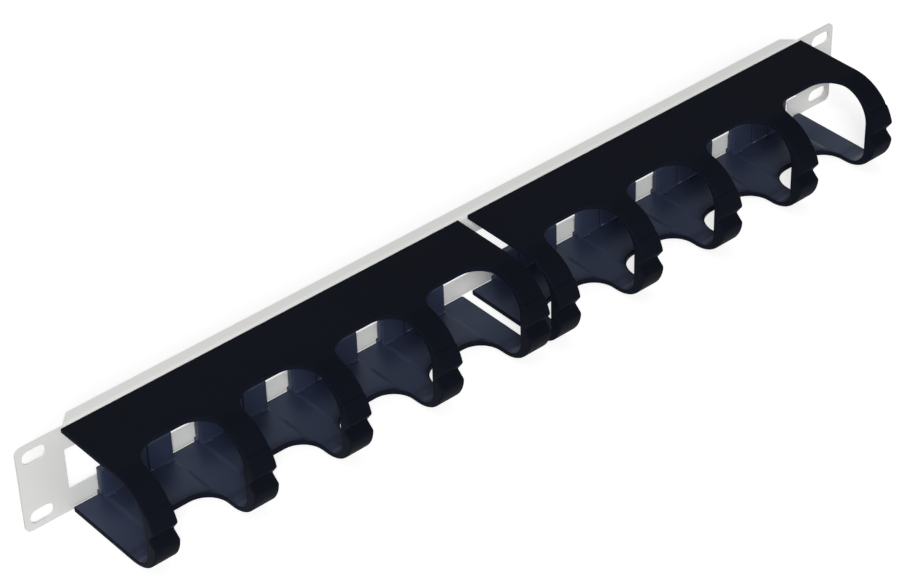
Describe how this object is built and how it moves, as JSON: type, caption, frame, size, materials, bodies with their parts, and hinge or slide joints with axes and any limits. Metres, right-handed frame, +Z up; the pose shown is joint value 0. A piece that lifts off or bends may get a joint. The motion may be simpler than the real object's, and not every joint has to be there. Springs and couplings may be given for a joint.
{
  "type": "horizontal cable manager",
  "caption": "Horizontal rack cable manager: a folded steel panel carrying plastic finger combs that form an open cable tunnel.",
  "frame": {"origin": "centre of the four rack slots, on the panel's front face", "axes": "+X to the right along the rack's width, +Y to the back into the rack, +Z up"},
  "size_m": [0.4826, 0.069, 0.0444],
  "materials": {
    "powder_coated_steel": "fine satin powder coat, off-white",
    "black_plastic": "satin moulded black with a faint blue cast"
  },
  "bodies": {
    "root": {"mounting_panel": "powder_coated_steel", "comb_left": "black_plastic", "comb_right": "black_plastic"}
  },
  "joints": []
}
